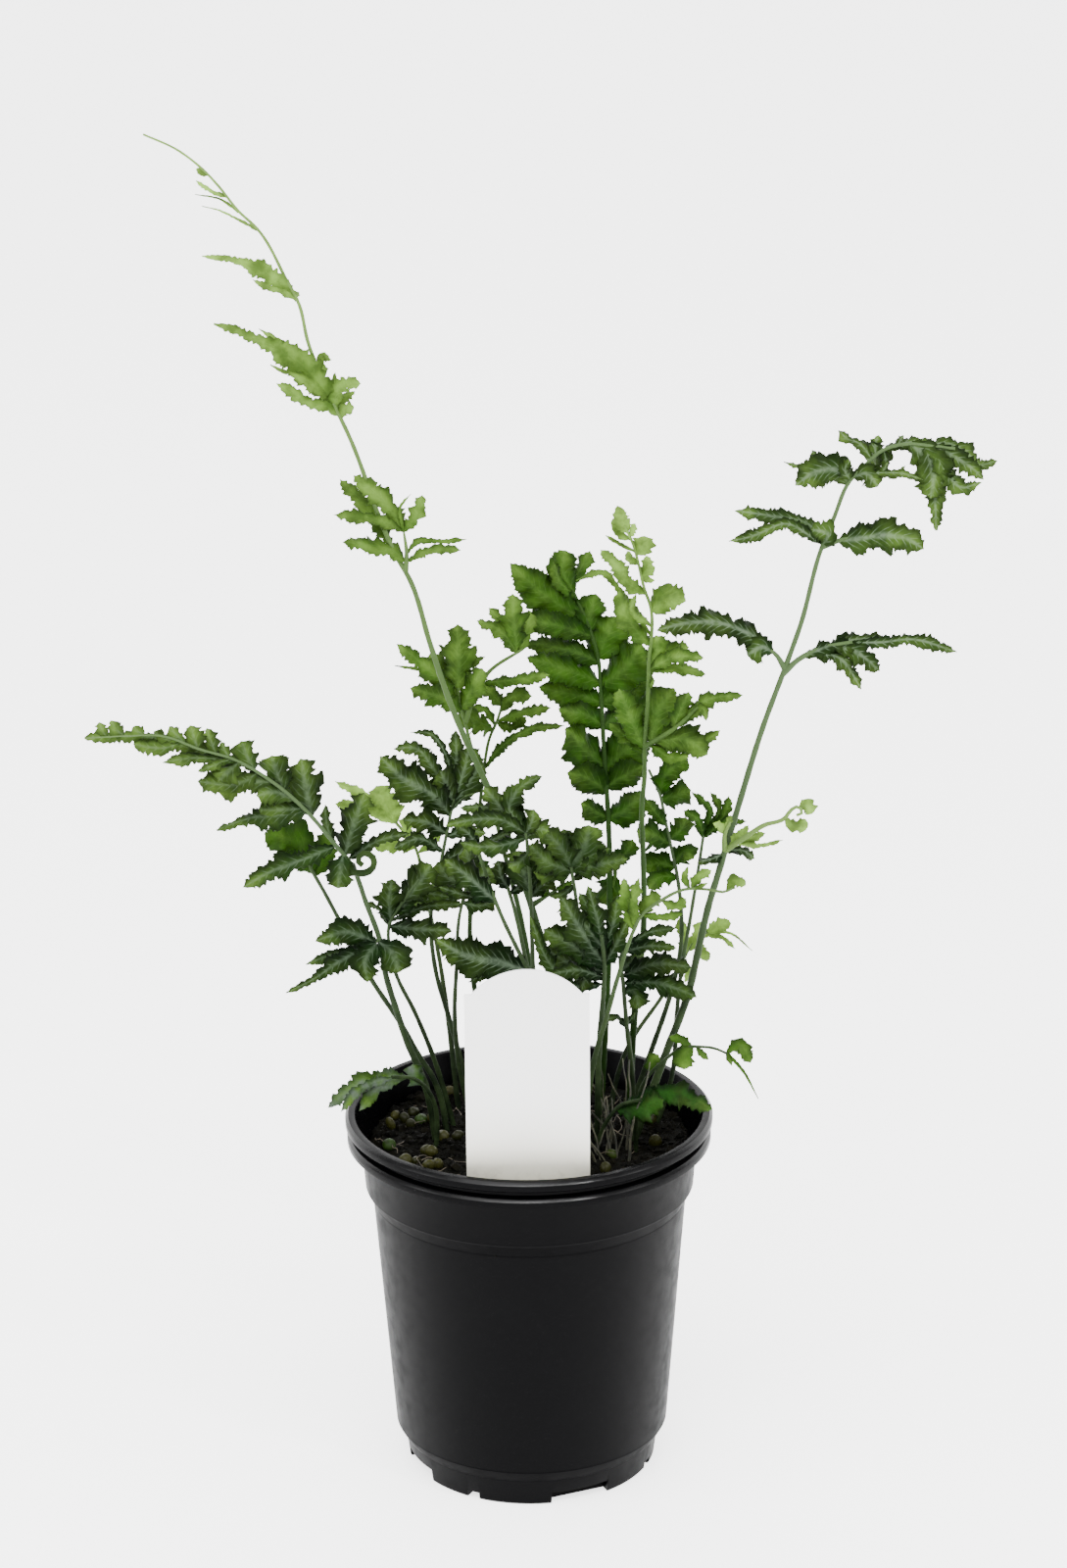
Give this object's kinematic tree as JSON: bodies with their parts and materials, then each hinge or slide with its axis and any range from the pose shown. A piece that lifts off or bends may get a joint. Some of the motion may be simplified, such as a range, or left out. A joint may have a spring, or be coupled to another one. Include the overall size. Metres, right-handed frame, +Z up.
{
  "type": "potted fern",
  "caption": "Potted fern: a tapered nursery pot with a flanged lip, filled with soil, a blank arched plant tag at the front and a spreading crown of lobed fronds on thin stalks.",
  "frame": {"origin": "centre of the flat underside of the pot, on the surface it stands on", "axes": "+Z up along the pot's axis, -Y the front where the tag stands, +X to the right seen from the front"},
  "size_m": [0.2556, 0.1175, 0.3937],
  "materials": {
    "black_plastic": "semi-matte moulded black plastic",
    "white_plastic": "smooth white sheet plastic",
    "potting_soil": "crumbly dark potting soil with yellow brown prills",
    "dark_frond": "living leaf, dark green with a silvery band along each rib",
    "bright_frond": "living leaf, bright green, paler towards the tips"
  },
  "bodies": {
    "root": {"pot": "black_plastic", "soil": "potting_soil", "tag": "white_plastic", "frond_tall_left": "bright_frond", "frond_tall_right": "dark_frond", "frond_arching_left": "dark_frond", "frond_low_behind_left": "bright_frond", "frond_dark_left": "dark_frond", "frond_dark_mid_left": "dark_frond", "frond_over_tag": "dark_frond", "frond_dark_centre": "dark_frond", "frond_mid_low": "dark_frond", "frond_dark_front": "dark_frond", "frond_dark_right": "dark_frond", "frond_broad_centre": "bright_frond", "frond_pale_centre": "bright_frond", "frond_inner_right": "bright_frond", "frond_grey_right": "bright_frond", "frond_bright_right": "bright_frond", "frond_twin_left": "bright_frond", "frond_branched_back": "bright_frond", "frond_left_mid": "dark_frond", "frond_pale_back_left": "bright_frond", "crozier_front": "bright_frond", "frond_low_right": "bright_frond", "leaf_over_rim": "bright_frond", "leaf_in_pot": "dark_frond"}
  },
  "joints": []
}
